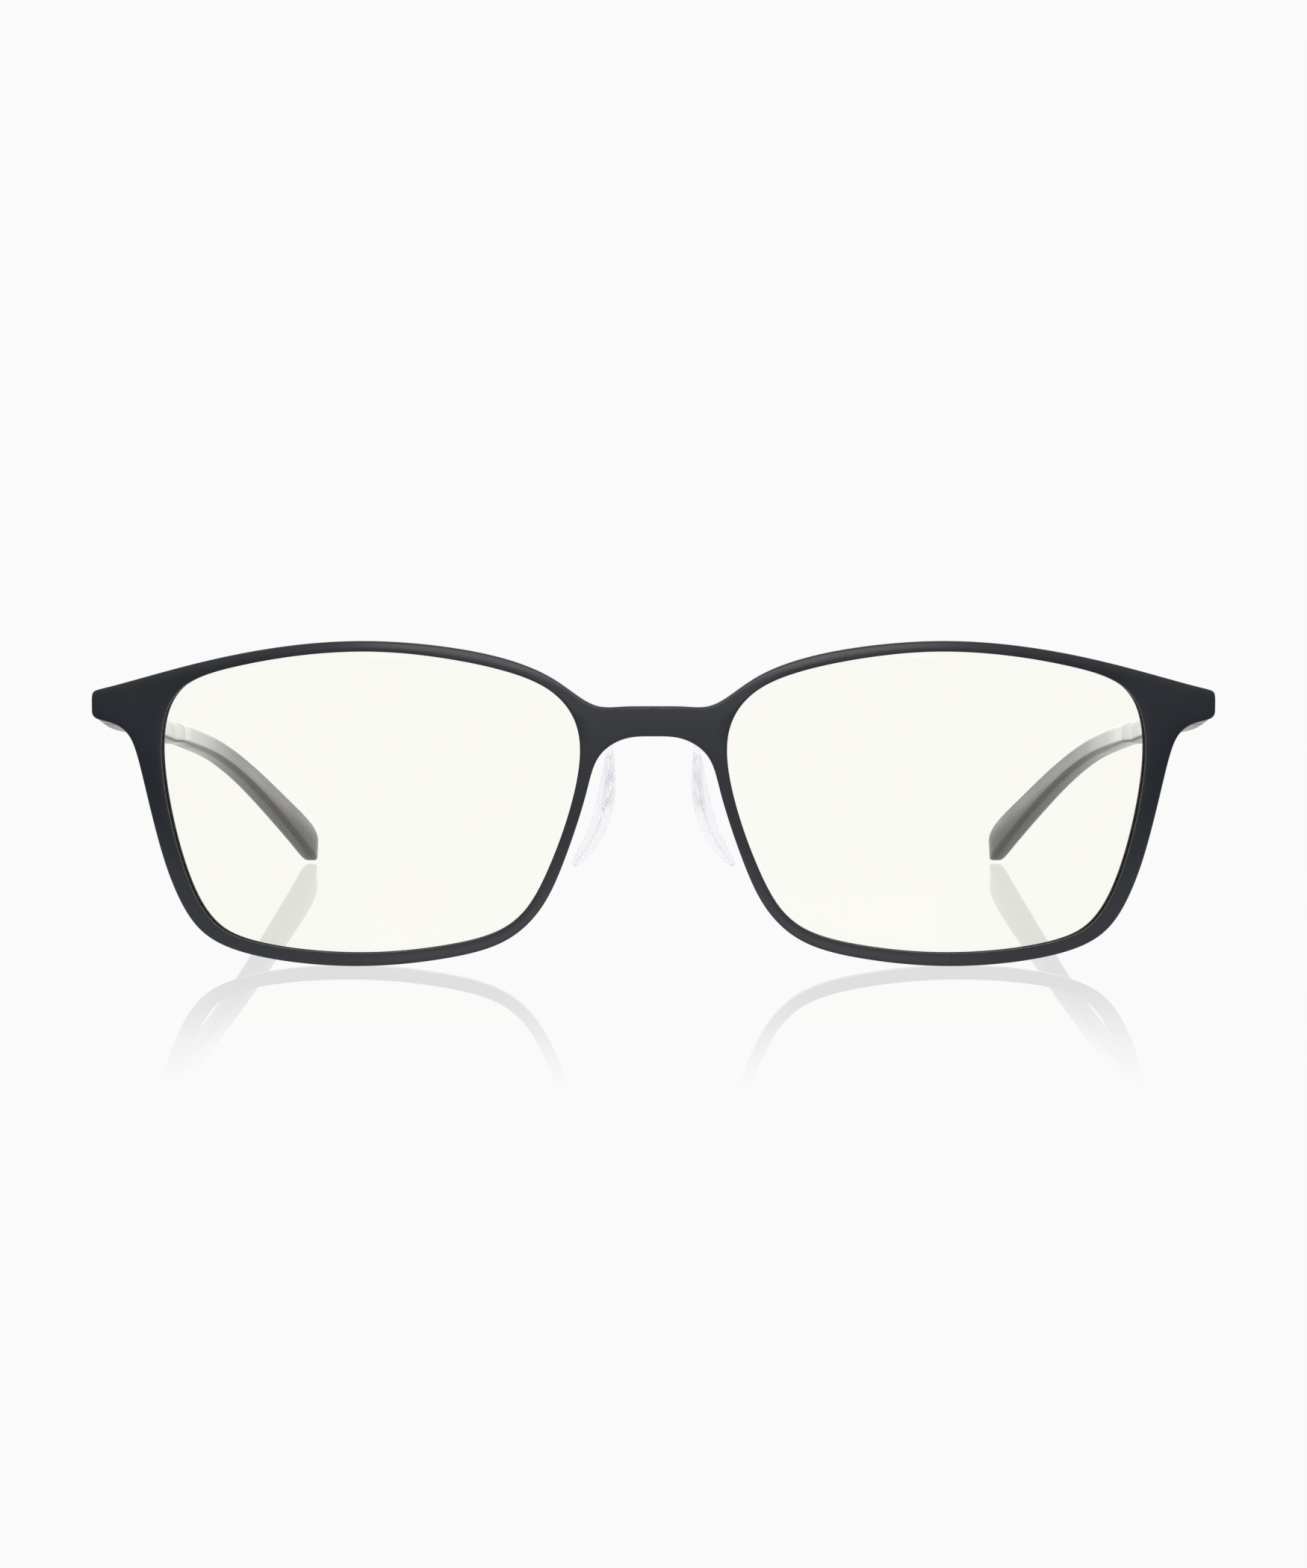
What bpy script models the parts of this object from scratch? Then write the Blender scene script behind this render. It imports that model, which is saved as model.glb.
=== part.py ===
"""Full-rim reading glasses with clear lenses, folding temples and clear nose pads.

+Z is up, the front of the glasses faces -Y and the temples run back along +Y.
They stand open on a level surface, on the two lower rims and the two temple ends.
left_ and right_ are the wearer's sides: left is +X. Every left piece is modelled
once and its right twin is the same mesh mirrored across X = 0.
"""
import bpy
import bmesh
import numpy as np
from math import cos, sin, pi, radians
from mathutils import Matrix, Vector

MM = 0.001
GAP = 0.2 * MM                 # between pieces that seat on each other
PIN_GAP = 0.1 * MM             # round a pin in its hole

# Where the front's foremost surface lies, so that the whole object is centred on Y = 0.
DATUM_Y = -78.73 * MM

# Front frame: its edge, seen square from the front, from the middle of the bridge's top
# round the endpiece and the lower rim to the middle of the bridge's underside (x, z in mm).
FRONT_EDGE = [
    (0, 33.5), (4.0, 33.4), (7.3, 33.5), (10.6, 35.5), (14.0, 37.6), (21.0, 39.95), (35.0, 41.65),
    (48.0, 40.85), (60.0, 38.35), (69.5, 35.7), (71.9, 35.05), (72.4, 34.65), (72.5, 33.2),
    (72.2, 31.8), (71.2, 31.2), (69.6, 31.0), (68.2, 30.2), (67.1, 28.5), (65.6, 23.2),
    (63.6, 15.2), (61.5, 9.2), (58.4, 4.4), (52.5, 1.5), (39.0, 0.0), (26.5, 1.1), (19.0, 3.4),
    (14.6, 7.4), (11.6, 13.4), (8.6, 22.5), (6.9, 27.3), (3.6, 29.5), (0, 29.8),
]
# Lens opening of the left eye, anticlockwise from its lowest point.
LENS_EDGE = [
    (36.3, 1.75), (46.4, 2.15), (53.0, 3.4), (56.3, 5.1), (59.4, 9.6), (62.7, 21.3), (63.1, 31.0),
    (60.5, 35.8), (53.5, 38.5), (45.0, 40.0), (36.3, 40.5), (27.7, 39.8), (18.5, 37.9),
    (12.5, 35.0), (9.6, 30.0), (10.5, 21.3), (13.4, 13.0), (16.5, 7.4), (20.3, 4.5), (26.6, 2.75),
]
# Points that face each other across the rim: on the lens opening, on the front's edge, and
# the number of steps from each pair to the next.
FACING = [
    ((10.3, 32.6), (0, 33.5), 3), ((12.4, 35.0), (7.6, 33.55), 4), ((18.5, 37.9), (14.6, 37.9), 6),
    ((36.3, 40.5), (36.3, 41.7), 6), ((53.5, 38.5), (56.0, 39.4), 6), ((61.3, 35.2), (71.9, 35.05), 4),
    ((63.1, 31.4), (71.6, 31.3), 5), ((62.9, 24.8), (66.2, 25.0), 6), ((59.4, 9.6), (61.7, 9.6), 6),
    ((53.0, 3.4), (53.8, 1.9), 6), ((36.3, 1.75), (36.6, 0.0), 6), ((20.3, 4.5), (18.6, 3.6), 6),
    ((13.4, 13.0), (11.6, 13.4), 5), ((9.7, 25.6), (7.6, 25.7), 3), ((9.5, 28.3), (5.4, 28.8), 3),
    ((9.6, 29.9), (0, 29.8), 3),
]
# How far the front's face lies behind the bridge, by distance from the middle (x, y in mm).
FACE_WRAP = [(-20, 0.75), (0, 0.0), (20, 0.75), (36, 1.2), (50, 2.9), (63, 5.6), (73, 7.8)]
FACE_CURVE_R = 132 * MM        # the face's curve from top to bottom, a 4-base lens
FACE_MID_Z = 21 * MM
RIM_DEPTH = 3.2 * MM
EDGE_ROUND = 0.4 * MM
LIP_CHAMFER = 0.2 * MM
GROOVE_FRONT, GROOVE_FLOOR, GROOVE_BACK = 0.9 * MM, 1.6 * MM, 2.3 * MM
GROOVE_CUT = 0.65 * MM

LENS_CENTRE = (36.3 * MM, 21.3 * MM)
LENS_INSET = 0.2 * MM          # the lens's faces stop this far inside the opening
LENS_BEVEL = 0.4 * MM          # and its bevel reaches this far outside it
LENS_FRONT, LENS_BACK = 1.0 * MM, 2.2 * MM

# Hinge: its axis stands square to the temple, which runs down towards the ear.
TEMPLE_DROP = radians(6.9)
HINGE = Vector((67.45, 17.0, 32.2)) * MM
HINGE_AXIS = Vector((0, sin(TEMPLE_DROP), cos(TEMPLE_DROP)))
TEMPLE_LINE = Vector((0, cos(TEMPLE_DROP), -sin(TEMPLE_DROP)))
BARREL_R, BARREL_BORE_R = 1.25 * MM, 0.62 * MM
KNUCKLE, KNUCKLE_GAP = 1.1 * MM, 0.12 * MM
PIN_R, PIN_HEAD_R, PIN_HEAD = 0.52 * MM, 1.05 * MM, 0.45 * MM
LEAF_THICK, LEAF_HEIGHT, LEAF_LENGTH = 0.6 * MM, 2.8 * MM, 5.6 * MM
RIVET_AT = (2.6 * MM, 4.8 * MM)      # from the hinge axis along each leaf
RIVET_R, RIVET_HEAD_R, RIVET_HEAD, RIVET_LENGTH = 0.45 * MM, 0.8 * MM, 0.25 * MM, 1.7 * MM
JOINT_GAP = 0.15 * MM          # half the gap between endpiece and temple

# Endpiece: the block behind the front's outer corner that carries the hinge.
BLOCK_INNER_X, BLOCK_OUTER_X = 68.95 * MM, 72.15 * MM

# Temple and ear tip share one outer shape. From the hinge it is straight, and its outer
# side is flat; then it bends inwards and down round the ear.
TEMPLE_START = Vector((70.65, 17.0, 32.2)) * MM
TEMPLE_TURN_IN = radians(2.7)
STRAIGHT = 58 * MM
THICK_AT, THICK = (0, 58 * MM), (3.0 * MM, 2.6 * MM)
HEIGHT_AT = (0, 8 * MM, 44 * MM, 58 * MM)
HEIGHT = (3.8 * MM, 4.3 * MM, 3.2 * MM, 3.1 * MM)
# Centre line behind the straight part, with the thickness across and the height (mm).
EAR_BEND = [
    (67.4, 85.0, 24.4, 2.6, 3.1), (66.6, 94.0, 23.3, 2.6, 3.1), (65.2, 104.0, 21.7, 2.6, 3.1),
    (63.7, 112.0, 20.0, 2.6, 3.15), (61.6, 121.0, 17.3, 2.65, 3.3), (59.0, 131.0, 13.5, 2.7, 3.6),
    (55.9, 142.0, 8.65, 2.7, 4.15), (53.4, 150.5, 4.6, 2.6, 4.7), (52.2, 155.2, 2.22, 2.1, 4.65),
    (51.8, 156.7, 1.8, 1.1, 3.6),
]
TONGUE_END = 68.5 * MM         # along the temple from the hinge to its rounded end
TONGUE_ROUND = 6.0 * MM        # the length of its rounding
TONGUE_FLOOR = 1.1 * MM        # the tip's lip runs below this depth under the temple's end
TONGUE_TOP = 1.9 * MM
LIP_LENGTH = 22.0 * MM
CORE_R, CORE_BORE_R = 0.5 * MM, 0.7 * MM
CORE_START, CORE_END = 28 * MM, 120 * MM

# Nose pad and its arm, on the left: centre points (mm). The arm is thickest at its root
# and thins to the blade inside the pad.
ARM_PATH = [(7.7, 4.1, 30.2), (7.3, 5.8, 30.6), (6.3, 8.6, 30.4), (5.7, 10.9, 28.4),
            (5.6, 11.7, 25.6), (5.9, 11.8, 22.2), (6.5, 11.7, 19.4)]
ARM_WIDTH, ARM_ROOT_THICK, ARM_BLADE_THICK = 2.3 * MM, 1.1 * MM, 0.5 * MM
ARM_FOOT = Vector((1.3, 1.5, 2.8)) * MM
PAD_LINE = [(5.75, 26.7), (5.8, 24.4), (6.0, 22.0), (6.45, 19.6), (7.3, 17.0), (8.4, 15.0), (9.7, 12.9)]
PAD_HALF_WIDTH = 3.6 * MM
PAD_THICK = 1.6 * MM
PAD_MID_Y = 11.9 * MM
PAD_SPLAY = radians(12)       # its back edge stands further from the nose


def clear_scene():
    for item in list(bpy.data.objects):
        bpy.data.objects.remove(item, do_unlink=True)


def material(name, colour, roughness, metallic=0.0, alpha=1.0):
    """One Principled finish."""
    finish = bpy.data.materials.new(name)
    finish.use_nodes = True
    shader = finish.node_tree.nodes["Principled BSDF"]
    shader.inputs["Base Color"].default_value = (*colour, 1.0)
    shader.inputs["Roughness"].default_value = roughness
    shader.inputs["Metallic"].default_value = metallic
    shader.inputs["Alpha"].default_value = alpha
    finish.diffuse_color = (*colour, alpha)
    return finish


def smooth_curve(points, count, closed=False):
    """A cubic spline through the points, each span as long as the square root of its chord."""
    knots = np.array(points, float)
    if closed:
        knots = np.vstack([knots[-4:], knots, knots[:4]])
    spans = np.sqrt(np.linalg.norm(np.diff(knots, axis=0), axis=1))
    at = np.concatenate([[0], np.cumsum(spans)])
    n = len(knots)
    system, slopes = np.zeros((n, n)), np.zeros((n, knots.shape[1]))
    system[0, 0] = system[-1, -1] = 1
    for i in range(1, n - 1):
        before, after = spans[i - 1], spans[i]
        system[i, i - 1:i + 2] = before, 2 * (before + after), after
        slopes[i] = 6 * ((knots[i + 1] - knots[i]) / after - (knots[i] - knots[i - 1]) / before)
    bend = np.linalg.solve(system, slopes)
    first, last = (at[4], at[-4]) if closed else (at[0], at[-1])
    where = np.linspace(first, last, count, endpoint=not closed)
    i = np.clip(np.searchsorted(at, where, side="right") - 1, 0, n - 2)
    span, left, right = spans[i][:, None], (where - at[i])[:, None], (at[i + 1] - where)[:, None]
    return (bend[i] * right ** 3 + bend[i + 1] * left ** 3) / (6 * span) \
        + (knots[i] / span - bend[i] * span / 6) * right \
        + (knots[i + 1] / span - bend[i + 1] * span / 6) * left


def face_y(x, z):
    """How far the front's surface lies behind the datum at x, z: it wraps round the face."""
    wrap = smooth_curve(FACE_WRAP, 400) * MM
    return np.interp(np.abs(x), wrap[:, 0], wrap[:, 1]) + (z - FACE_MID_Z) ** 2 / (2 * FACE_CURVE_R)


def mesh_object(name, points, faces, finish):
    """A smooth-shaded object from points in metres, measured from the front's datum."""
    mesh = bpy.data.meshes.new(name)
    mesh.from_pydata([(x, y + DATUM_Y, z) for x, y, z in points], [], faces)
    mesh.update()
    mesh.materials.append(finish)
    piece = bpy.data.objects.new(name, mesh)
    bpy.context.collection.objects.link(piece)
    mesh.shade_smooth()
    mesh.set_sharp_from_angle(angle=radians(35))
    return piece


def loft(name, rings, finish):
    """A closed body through rings of equal size, with a flat cap on each end ring."""
    rings = np.asarray(rings)
    count, size, _ = rings.shape
    around = range(size)
    faces = [(k * size + i, k * size + (i + 1) % size, (k + 1) * size + (i + 1) % size,
              (k + 1) * size + i) for k in range(count - 1) for i in around]
    faces.append(tuple(reversed(around)))
    faces.append(tuple((count - 1) * size + i for i in around))
    piece = mesh_object(name, rings.reshape(-1, 3), faces, finish)
    face_outwards(piece)
    return piece


def face_outwards(piece):
    shell = bmesh.new()
    shell.from_mesh(piece.data)
    bmesh.ops.recalc_face_normals(shell, faces=shell.faces)
    shell.to_mesh(piece.data)
    shell.free()


def rounded_section(width, height, corner, corner_steps=2):
    """Points (across, up) round a rectangle with round corners, anticlockwise."""
    points = []
    for quarter in range(4):
        sx, sy = ((1, 1), (-1, 1), (-1, -1), (1, -1))[quarter]
        for step in range(corner_steps + 1):
            turn = (quarter + step / corner_steps) * pi / 2
            points.append((sx * (width / 2 - corner) + corner * cos(turn),
                           sy * (height / 2 - corner) + corner * sin(turn)))
    return np.array(points)


def cylinder(name, start, end, radius, finish, sides=20):
    """A round bar from start to end."""
    along = (end - start).normalized()
    across = along.orthogonal().normalized()
    up = along.cross(across)
    rings = [[centre + across * radius * cos(2 * pi * i / sides) + up * radius * sin(2 * pi * i / sides)
              for i in range(sides)] for centre in (start, end)]
    return loft(name, rings, finish)


def box(name, centre, half, finish, axes=None):
    """A block: half sizes along three square axes, X, Y and Z unless told otherwise."""
    a, b, c = axes or (Vector((1, 0, 0)), Vector((0, 1, 0)), Vector((0, 0, 1)))
    rings = [[centre + a * half[0] * sx + b * sy * half[1] + c * sz * half[2]
              for sx, sz in ((-1, -1), (1, -1), (1, 1), (-1, 1))] for sy in (-1, 1)]
    return loft(name, rings, finish)


def carve(piece, tool, operation="DIFFERENCE"):
    """Cut, join or keep what is common, then drop the tool."""
    change = piece.modifiers.new("carve", "BOOLEAN")
    change.operation = operation
    change.object = tool
    change.solver = "EXACT"
    bpy.context.view_layer.update()
    result = bpy.data.meshes.new_from_object(
        piece.evaluated_get(bpy.context.evaluated_depsgraph_get()))
    piece.modifiers.remove(change)
    old, piece.data = piece.data, result
    bpy.data.meshes.remove(old)
    bpy.data.objects.remove(tool, do_unlink=True)
    tidy_mesh(piece)


def tidy_mesh(piece):
    shell = bmesh.new()
    shell.from_mesh(piece.data)
    bmesh.ops.remove_doubles(shell, verts=shell.verts, dist=0.001 * MM)
    bmesh.ops.dissolve_degenerate(shell, edges=shell.edges, dist=0.001 * MM)
    shell.to_mesh(piece.data)
    shell.free()


def right_twin(piece):
    """The same mesh mirrored to the right side."""
    twin = piece.copy()
    twin.name = piece.name.replace("left_", "right_")
    twin.data = piece.data.copy()
    twin.data.transform(Matrix.Scale(-1, 4, (1, 0, 0)))
    twin.data.flip_normals()
    bpy.context.collection.objects.link(twin)
    return twin


def facing_pairs():
    """Matching points round the lens opening and round the left half of the front."""
    opening = smooth_curve(LENS_EDGE, 3000, closed=True)
    ghost = [(-FRONT_EDGE[1][0], FRONT_EDGE[1][1])] + FRONT_EDGE + [(-FRONT_EDGE[-2][0], FRONT_EDGE[-2][1])]
    edge = smooth_curve(ghost, 6000)
    edge = edge[np.flatnonzero(edge[:, 0] >= 0)]
    edge[0, 0] = edge[-1, 0] = 0
    cut = np.linspace(edge[-1], edge[0], 400)[1:-1]
    outline = np.vstack([edge, cut])
    loops = [opening[::-1], outline]
    marks = [[int(np.argmin(np.hypot(*(loop - np.array(pair[k])).T))) for pair in FACING]
             for k, loop in enumerate(loops)]
    picked = ([], [])
    for i, (_, _, steps) in enumerate(FACING):
        for k, loop in enumerate(loops):
            first, last = marks[k][i], marks[k][(i + 1) % len(FACING)]
            last += len(loop) if last <= first else 0
            picks = np.round(np.linspace(first, last, steps, endpoint=False)).astype(int)
            picked[k].extend(loop[picks % len(loop)] * MM)
    return np.array(picked[0]), np.array(picked[1])


def outward(loop):
    """Unit vectors square to a clockwise loop, away from its inside."""
    along = np.roll(loop, -1, axis=0) - np.roll(loop, 1, axis=0)
    along /= np.linalg.norm(along, axis=1)[:, None]
    return np.stack([-along[:, 1], along[:, 0]], axis=1)


def build_front(finish):
    """The left half as loops across the rim, mirrored and joined at the middle."""
    lens, edge = facing_pairs()
    lens_out, edge_in = outward(lens), -outward(edge)
    on_cut = edge[:, 0] < 0.01 * MM
    corner = on_cut & ((edge[:, 1] > 33.4 * MM) | (edge[:, 1] < 29.9 * MM))
    inside_cut = on_cut & ~corner
    edge_in[corner] = np.where(edge[corner][:, 1:] > 31 * MM, [[0.0, -1.0]], [[0.0, 1.0]])
    rounding = np.where(inside_cut, 0.0, EDGE_ROUND)[:, None]
    edge_inset = edge + edge_in * rounding
    middle = (lens + edge) / 2
    edge_front = np.where(inside_cut, 0.0, EDGE_ROUND)
    loops = [
        (lens, LIP_CHAMFER), (lens + lens_out * LIP_CHAMFER, 0.0), (middle, 0.0), (edge_inset, 0.0),
        (edge, edge_front), (edge, RIM_DEPTH - edge_front), (edge_inset, RIM_DEPTH), (middle, RIM_DEPTH),
        (lens + lens_out * LIP_CHAMFER, RIM_DEPTH), (lens, RIM_DEPTH - LIP_CHAMFER),
        (lens, GROOVE_BACK), (lens + lens_out * GROOVE_CUT, GROOVE_FLOOR), (lens, GROOVE_FRONT),
    ]
    size, points, faces = len(lens), [], []
    for plan, depth in loops:
        y = face_y(plan[:, 0], plan[:, 1]) + depth
        points.extend(zip(plan[:, 0], y, plan[:, 1]))
    joined = on_cut & np.roll(on_cut, -1)
    for k in range(len(loops)):
        onward = (k + 1) % len(loops)
        for i in range(size):
            j = (i + 1) % size
            if joined[i] and k in (3, 4, 5):
                continue
            faces.append((k * size + i, k * size + j, onward * size + j, onward * size + i))
    front = mesh_object("front_frame", points, faces, finish)
    shell = bmesh.new()
    shell.from_mesh(front.data)
    bmesh.ops.mirror(shell, geom=shell.verts[:] + shell.edges[:] + shell.faces[:], axis="X",
                     merge_dist=0.002 * MM)
    bmesh.ops.remove_doubles(shell, verts=shell.verts, dist=0.002 * MM)
    bmesh.ops.dissolve_degenerate(shell, edges=shell.edges, dist=0.002 * MM)
    bmesh.ops.recalc_face_normals(shell, faces=shell.faces)
    shell.to_mesh(front.data)
    shell.free()
    return front


def endpiece_block(side, finish):
    """A rounded block from inside the front's corner back to the temple's mating face."""
    width = BLOCK_OUTER_X - BLOCK_INNER_X
    stations = [(9.4 * MM, 33.2 * MM, 3.4 * MM), (12.5 * MM, 32.75 * MM, 3.7 * MM)]
    rings = [[(side * (BLOCK_INNER_X + width / 2 + a), y, z + b)
              for a, b in rounded_section(width, height, 0.8 * MM)] for y, z, height in stations]
    end = HINGE - TEMPLE_LINE * JOINT_GAP
    rings.append([(side * (BLOCK_INNER_X + width / 2 + a), *(end + HINGE_AXIS * b)[1:])
                  for a, b in rounded_section(width, HEIGHT[0], 0.8 * MM)])
    return loft("endpiece_block", rings, finish)


def left_right(vector, side):
    return Vector((side * vector.x, vector.y, vector.z))


def rivet_points(direction):
    """Where the rivets of one leaf pass, along direction from the hinge axis."""
    return [HINGE + direction * distance for distance in RIVET_AT]


def build_lens(finish):
    """A curved disc with a bevelled edge, built of loops from its centre outwards."""
    opening, _ = facing_pairs()
    out, centre = outward(opening), np.array(LENS_CENTRE)
    rim = opening - out * LENS_INSET
    bevel_mid = (LENS_FRONT + LENS_BACK) / 2
    shares = (0.35, 0.7, 1.0)
    loops = [(centre + (rim - centre) * share, LENS_FRONT) for share in shares]
    loops.append((opening + out * LENS_BEVEL, bevel_mid))
    loops += [(centre + (rim - centre) * share, LENS_BACK) for share in reversed(shares)]
    size, points = len(opening), []
    for plan, depth in loops:
        points.extend(zip(plan[:, 0], face_y(plan[:, 0], plan[:, 1]) + depth, plan[:, 1]))
    faces = [(k * size + i, k * size + (i + 1) % size, (k + 1) * size + (i + 1) % size, (k + 1) * size + i)
             for k in range(len(loops) - 1) for i in range(size)]
    for depth, ring in ((LENS_FRONT, 0), (LENS_BACK, len(loops) - 1)):
        points.append((centre[0], face_y(centre[0], centre[1]) + depth, centre[1]))
        faces += [(ring * size + i, ring * size + (i + 1) % size, len(points) - 1) for i in range(size)]
    lens = mesh_object("left_lens", points, faces, finish)
    face_outwards(lens)
    return lens


def temple_line():
    """Points every 0.2 mm or so along the temple's centre: place, thickness and height."""
    along = Vector((-sin(TEMPLE_TURN_IN), *(TEMPLE_LINE * cos(TEMPLE_TURN_IN))[1:]))
    straight = []
    for s in np.linspace(0, STRAIGHT, 60):
        place = TEMPLE_START + along * s
        straight.append((*place, np.interp(s, THICK_AT, THICK), np.interp(s, HEIGHT_AT, HEIGHT)))
    lead_in = [np.array(straight[k]) / MM for k in (30, 59)]
    bend = smooth_curve(lead_in + EAR_BEND, 900) * MM
    bend = bend[bend[:, 1] > straight[-1][1] + 0.3 * MM]
    line = np.vstack([straight, bend])
    steps = np.linalg.norm(np.diff(line[:, :3], axis=0), axis=1)
    return line, np.concatenate([[0], np.cumsum(steps)])


def temple_at(s):
    """Place, thickness, height and the three directions at s from the hinge."""
    line, distance = TEMPLE_TABLE
    values = [np.interp(s, distance, line[:, k]) for k in range(5)]
    if s < STRAIGHT:
        ahead, behind = line[59, :3], line[0, :3]
    else:
        ahead, behind = ([np.interp(s + step, distance, line[:, k]) for k in range(3)]
                         for step in (0.8 * MM, -0.8 * MM))
    along = (Vector(ahead) - Vector(behind)).normalized()
    across = along.cross(HINGE_AXIS).normalized()
    return Vector(values[:3]), values[3], values[4], along, across, across.cross(along)


def temple_sweep(stations, finish, name):
    """The temple's outer shape through rings at these distances along its centre line."""
    rings = []
    for s in stations:
        place, thick, height, _, across, up = temple_at(s)
        rings.append([place + across * a + up * b
                      for a, b in rounded_section(thick, height, min(0.8 * MM, 0.48 * thick))])
    return loft(name, rings, finish)


def tongue_tool(name, grow, finish):
    """A prism across the temple with a rounded end: inside it is temple, outside it is tip."""
    end, floor, roof = TONGUE_END + grow, -TONGUE_FLOOR - grow, TONGUE_TOP + grow
    far_up, far_back, turns = 4 * MM, -5 * MM, np.linspace(0, pi / 2, 7)
    profile = [(far_back, -far_up), (end - LIP_LENGTH - 1.5 * MM, -far_up), (end - LIP_LENGTH, floor)]
    profile += [(end - TONGUE_ROUND * (1 - sin(a)), floor * cos(a)) for a in turns]
    profile += [(end - TONGUE_ROUND * (1 - cos(a)), roof * sin(a)) for a in turns[1:]]
    profile += [(end - TONGUE_ROUND - 1 * MM, far_up), (far_back, far_up)]
    rings = [[Vector((x, *(HINGE + TEMPLE_LINE * s + HINGE_AXIS * h)[1:])) for s, h in profile]
             for x in (60 * MM, 80 * MM)]
    return loft(name, rings, finish)


def core_bar(name, first, last, radius, finish, sides=8, count=26):
    """A round wire along the temple's centre line."""
    rings = []
    for s in np.linspace(first, last, count):
        place, _, _, _, across, up = temple_at(s)
        rings.append([place + across * radius * cos(2 * pi * i / sides)
                      + up * radius * sin(2 * pi * i / sides) for i in range(sides)])
    return loft(name, rings, finish)


def build_temple(plastic, rubber, wire):
    """Temple, ear tip and the core wire that joins them."""
    stations = [JOINT_GAP, 8 * MM, STRAIGHT - 1 * MM] + list(np.linspace(62 * MM, 80 * MM, 7))
    temple = temple_sweep(stations, plastic, "left_temple")
    carve(temple, tongue_tool("tongue", 0.0, plastic), "INTERSECT")
    end = TEMPLE_TABLE[1][-1]
    stations = [44 * MM, STRAIGHT - 1 * MM] + list(np.linspace(62 * MM, end - 8 * MM, 20))
    stations += list(np.linspace(end - 5 * MM, end, 4))
    tip = temple_sweep(stations, rubber, "left_temple_tip")
    carve(tip, tongue_tool("recess", GAP, rubber))
    core = core_bar("left_temple_core", CORE_START, CORE_END, CORE_R, wire)
    for piece in (temple, tip):
        carve(piece, core_bar("bore", CORE_START - GAP, CORE_END + GAP, CORE_BORE_R, wire))
    return temple, tip, core


def build_leaf(name, direction, knuckles, finish):
    """A hinge leaf: its plate, with holes for two rivets, and its knuckles round the pin."""
    inner = HINGE.x + BARREL_R - LEAF_THICK
    centre = HINGE + direction * (LEAF_LENGTH / 2 + 0.3 * MM)
    centre.x = inner + LEAF_THICK / 2
    axes = (Vector((1, 0, 0)), direction, HINGE_AXIS)
    leaf = box(name, centre, (LEAF_THICK / 2, LEAF_LENGTH / 2, LEAF_HEIGHT / 2), finish, axes)
    full = 3 * KNUCKLE + 2 * KNUCKLE_GAP
    for number in range(3):
        low = -full / 2 + number * (KNUCKLE + KNUCKLE_GAP)
        start, end = HINGE + HINGE_AXIS * low, HINGE + HINGE_AXIS * (low + KNUCKLE)
        if number in knuckles:
            carve(leaf, cylinder("knuckle", start, end, BARREL_R, finish), "UNION")
        else:
            room = HINGE_AXIS * KNUCKLE_GAP
            carve(leaf, cylinder("knuckle_room", start - room, end + room, BARREL_R + 0.25 * MM, finish))
    long_pin = HINGE_AXIS * 5 * MM
    carve(leaf, cylinder("pin_hole", HINGE - long_pin, HINGE + long_pin, BARREL_BORE_R, finish))
    for point in rivet_points(direction):
        across = Vector((3 * MM, 0, 0))
        carve(leaf, cylinder("rivet_hole", point - across, point + across, RIVET_R + PIN_GAP, finish, 12))
    return leaf


def build_rivets(name, direction, finish):
    """Two rivets with flat heads on the leaf and shanks in the plastic."""
    face = HINGE.x + BARREL_R - LEAF_THICK
    rivets = []
    for number, point in enumerate(rivet_points(direction), 1):
        shank_start = Vector((face - PIN_GAP - RIVET_HEAD / 2, point.y, point.z))
        shank_end = Vector((HINGE.x + BARREL_R + RIVET_LENGTH, point.y, point.z))
        head_start = Vector((face - PIN_GAP - RIVET_HEAD, point.y, point.z))
        head_end = head_start + Vector((RIVET_HEAD, 0, 0))
        rivet = cylinder(f"{name}_{number}", shank_start, shank_end, RIVET_R, finish, 12)
        carve(rivet, cylinder("head", head_start, head_end, RIVET_HEAD_R, finish, 16), "UNION")
        rivets.append(rivet)
    return rivets


def rivet_bores(piece, direction, side, finish):
    """Blind holes for one leaf's rivets."""
    for point in rivet_points(direction):
        start = Vector((66 * MM, point.y, point.z))
        end = Vector((HINGE.x + BARREL_R + RIVET_LENGTH + 2 * PIN_GAP, point.y, point.z))
        carve(piece, cylinder("bore", left_right(start, side), left_right(end, side),
                              RIVET_R + PIN_GAP, finish, 12))


def build_hinge_screw(finish):
    """The pin through the three knuckles, with a slotted head on top."""
    half = (3 * KNUCKLE + 2 * KNUCKLE_GAP) / 2
    top = HINGE + HINGE_AXIS * (half + PIN_GAP)
    screw = cylinder("left_hinge_screw", HINGE - HINGE_AXIS * half, top + HINGE_AXIS * PIN_HEAD / 2,
                     PIN_R, finish, 16)
    carve(screw, cylinder("head", top, top + HINGE_AXIS * PIN_HEAD, PIN_HEAD_R, finish, 20), "UNION")
    slot_centre = top + HINGE_AXIS * PIN_HEAD
    carve(screw, box("slot", slot_centre, (1.5 * MM, 0.13 * MM, 0.2 * MM), finish,
                     (Vector((1, 0, 0)), TEMPLE_LINE, HINGE_AXIS)))
    return screw


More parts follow.
